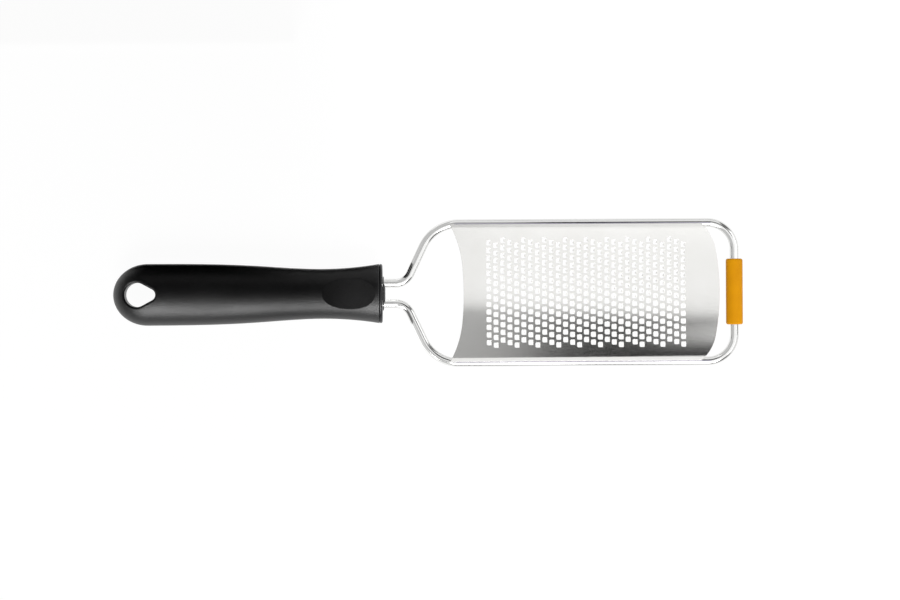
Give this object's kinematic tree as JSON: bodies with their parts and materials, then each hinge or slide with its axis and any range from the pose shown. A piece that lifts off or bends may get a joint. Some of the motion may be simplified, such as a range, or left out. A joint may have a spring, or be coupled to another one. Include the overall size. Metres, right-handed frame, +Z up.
{
  "type": "rasp zester",
  "caption": "Hand-held rasp zester: oval moulded handle with hanging hole, bent wire frame, perforated toothed trough sheet and a soft sleeve on the front cross bar.",
  "frame": {"origin": "middle of the bounding box at its base: the tool lies on z = 0 on the belly of its handle and on the front sleeve", "axes": "+X along the tool from the handle to the front cross bar, +Y across it, +Z up from the toothed face"},
  "size_m": [0.28, 0.0656, 0.0196],
  "materials": {
    "handle_plastic": "satin moulded black plastic",
    "cap_plastic": "satin moulded black plastic",
    "wire_steel": "bright drawn stainless wire",
    "sheet_steel": "satin rolled stainless sheet",
    "sleeve_rubber": "matt orange-yellow soft rubber"
  },
  "bodies": {
    "root": {"handle": "handle_plastic", "front_cap": "cap_plastic", "frame_wire": "wire_steel", "rasp_sheet": "sheet_steel", "grip_sleeve": "sleeve_rubber"}
  },
  "joints": []
}
